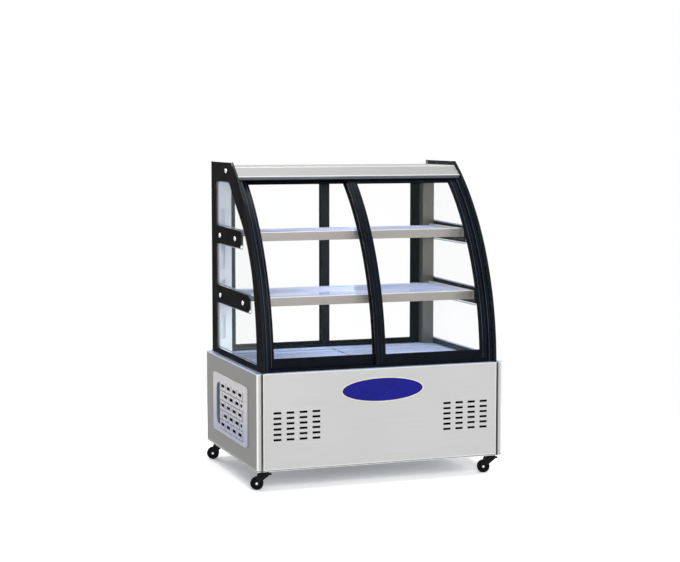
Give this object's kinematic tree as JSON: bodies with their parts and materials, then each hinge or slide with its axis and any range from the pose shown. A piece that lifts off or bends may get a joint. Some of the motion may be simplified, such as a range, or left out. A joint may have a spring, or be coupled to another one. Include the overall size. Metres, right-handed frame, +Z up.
{
  "type": "bakery display case",
  "caption": "Refrigerated bakery display case on casters with a curved sliding glass front, glass sides, wire shelves and sliding rear doors.",
  "frame": {"origin": "on the floor, at the middle of the case", "axes": "+X to the right of someone who faces the glass front, +Y towards the rear doors, +Z up"},
  "size_m": [1.0124, 0.7037, 1.216],
  "materials": {
    "panel_steel": "fine brushed stainless sheet",
    "galvanised": "galvanised sheet",
    "black_profile": "satin black anodised profile",
    "rear_profile": "satin slate grey profile",
    "door_glass": "clear tempered glass",
    "side_glass": "clear tempered glass with a black printed border",
    "white_plastic": "moulded",
    "pale_duct": "moulded",
    "coated_wire": "plastic-coated wire",
    "foam": "rigid foam",
    "lamp": "diffuser",
    "black_steel": "gloss black enamel",
    "copper": "bare copper pipe",
    "fin_stock": "thin fin packs",
    "fan_metal": "pressed blades",
    "dark_plastic": "moulded",
    "box_paint": "powder coat",
    "caster_steel": "black zinc",
    "tyre": "hard rubber"
  },
  "bodies": {
    "cabinet": {"caster_plates": "galvanised", "chassis_tray": "galvanised", "compressor": "black_steel", "condenser": "fin_stock", "condenser_fan_motor": "black_steel", "control_box": "box_paint", "deck_tub": "panel_steel", "drip_tray": "white_plastic", "evaporator": "fin_stock", "evaporator_fan_motor": "black_steel", "fan_shroud": "galvanised", "floor_racks": "coated_wire", "front_header": "black_profile", "front_jamb_left": "black_profile", "front_jamb_right": "black_profile", "front_panel": "panel_steel", "front_sill": "black_profile", "led_lamp": "lamp", "middle_brackets": "black_profile", "middle_rack": "coated_wire", "middle_shelf": "panel_steel", "rear_frame": "rear_profile", "rear_panel": "galvanised", "refrigerant_pipes": "copper", "roof": "panel_steel", "side_duct_left": "pale_duct", "side_duct_right": "panel_steel", "side_glass_left": "side_glass", "side_glass_right": "side_glass", "side_panel_left": "panel_steel", "side_panel_right": "panel_steel", "tub_insulation": "foam", "upper_brackets": "black_profile", "upper_rack": "coated_wire", "upper_shelf": "panel_steel", "vent_grille": "white_plastic"},
    "front_door_right": {"front_door_right_frame": "black_profile", "front_door_right_pane": "door_glass"},
    "rear_door_right": {"rear_door_right_frame": "rear_profile", "rear_door_right_pane": "door_glass"},
    "front_door_left": {"front_door_left_frame": "black_profile", "front_door_left_pane": "door_glass"},
    "rear_door_left": {"rear_door_left_frame": "rear_profile", "rear_door_left_pane": "door_glass"},
    "condenser_fan": {"condenser_fan": "fan_metal"},
    "evaporator_fan": {"evaporator_fan": "fan_metal"},
    "rocker_1": {"rocker_1": "dark_plastic"},
    "rocker_2": {"rocker_2": "dark_plastic"},
    "caster_front_left": {"caster_fork_front_left": "caster_steel"},
    "wheel_front_left": {"caster_wheel_front_left": "tyre"},
    "pedal_front_left": {"brake_pedal_front_left": "dark_plastic"},
    "caster_front_right": {"caster_fork_front_right": "caster_steel"},
    "wheel_front_right": {"caster_wheel_front_right": "tyre"},
    "pedal_front_right": {"brake_pedal_front_right": "dark_plastic"},
    "caster_rear_left": {"caster_fork_rear_left": "caster_steel"},
    "wheel_rear_left": {"caster_wheel_rear_left": "tyre"},
    "caster_rear_right": {"caster_fork_rear_right": "caster_steel"},
    "wheel_rear_right": {"caster_wheel_rear_right": "tyre"}
  },
  "joints": [
    {"name": "front_door_right_slide", "type": "slide", "parent": "cabinet", "child": "front_door_right", "axis": [1, 0, 0], "range_m": [-0.44, 0]},
    {"name": "front_door_left_slide", "type": "slide", "parent": "cabinet", "child": "front_door_left", "axis": [1, 0, 0], "range_m": [0, 0.44]},
    {"name": "rear_door_right_slide", "type": "slide", "parent": "cabinet", "child": "rear_door_right", "axis": [1, 0, 0], "range_m": [-0.434, 0]},
    {"name": "rear_door_left_slide", "type": "slide", "parent": "cabinet", "child": "rear_door_left", "axis": [1, 0, 0], "range_m": [0, 0.434]},
    {"name": "condenser_fan_spin", "type": "hinge", "parent": "cabinet", "child": "condenser_fan", "pos_m": [-0.4155, 0, 0.177], "axis": [1, 0, 0], "continuous": true},
    {"name": "evaporator_fan_spin", "type": "hinge", "parent": "cabinet", "child": "evaporator_fan", "pos_m": [0, 0.143, 0.395], "axis": [0, 1, 0], "continuous": true},
    {"name": "rocker_1_tip", "type": "hinge", "parent": "cabinet", "child": "rocker_1", "pos_m": [0.288, 0.3448, 0.205], "axis": [1, 0, 0], "range_deg": [0, 16]},
    {"name": "rocker_2_tip", "type": "hinge", "parent": "cabinet", "child": "rocker_2", "pos_m": [0.326, 0.3448, 0.205], "axis": [1, 0, 0], "range_deg": [0, 16]},
    {"name": "caster_front_left_swivel", "type": "hinge", "parent": "cabinet", "child": "caster_front_left", "pos_m": [-0.465, -0.308, 0.07], "axis": [0, 0, 1], "continuous": true},
    {"name": "pedal_front_left_lift", "type": "hinge", "parent": "caster_front_left", "child": "pedal_front_left", "pos_m": [-0.44715, -0.3145, 0.06], "axis": [-0.342, -0.9397, 0], "range_deg": [0, 16]},
    {"name": "wheel_front_left_roll", "type": "hinge", "parent": "caster_front_left", "child": "wheel_front_left", "pos_m": [-0.48567, -0.30048, 0.025], "axis": [-0.342, -0.9397, 0], "continuous": true},
    {"name": "caster_front_right_swivel", "type": "hinge", "parent": "cabinet", "child": "caster_front_right", "pos_m": [0.465, -0.308, 0.07], "axis": [0, 0, 1], "continuous": true},
    {"name": "pedal_front_right_lift", "type": "hinge", "parent": "caster_front_right", "child": "pedal_front_right", "pos_m": [0.48285, -0.3145, 0.06], "axis": [-0.342, -0.9397, 0], "range_deg": [0, 16]},
    {"name": "wheel_front_right_roll", "type": "hinge", "parent": "caster_front_right", "child": "wheel_front_right", "pos_m": [0.44433, -0.30048, 0.025], "axis": [-0.342, -0.9397, 0], "continuous": true},
    {"name": "caster_rear_left_swivel", "type": "hinge", "parent": "cabinet", "child": "caster_rear_left", "pos_m": [-0.465, 0.308, 0.07], "axis": [0, 0, 1], "continuous": true},
    {"name": "wheel_rear_left_roll", "type": "hinge", "parent": "caster_rear_left", "child": "wheel_rear_left", "pos_m": [-0.48567, 0.31552, 0.025], "axis": [-0.342, -0.9397, 0], "continuous": true},
    {"name": "caster_rear_right_swivel", "type": "hinge", "parent": "cabinet", "child": "caster_rear_right", "pos_m": [0.465, 0.308, 0.07], "axis": [0, 0, 1], "continuous": true},
    {"name": "wheel_rear_right_roll", "type": "hinge", "parent": "caster_rear_right", "child": "wheel_rear_right", "pos_m": [0.44433, 0.31552, 0.025], "axis": [-0.342, -0.9397, 0], "continuous": true}
  ]
}
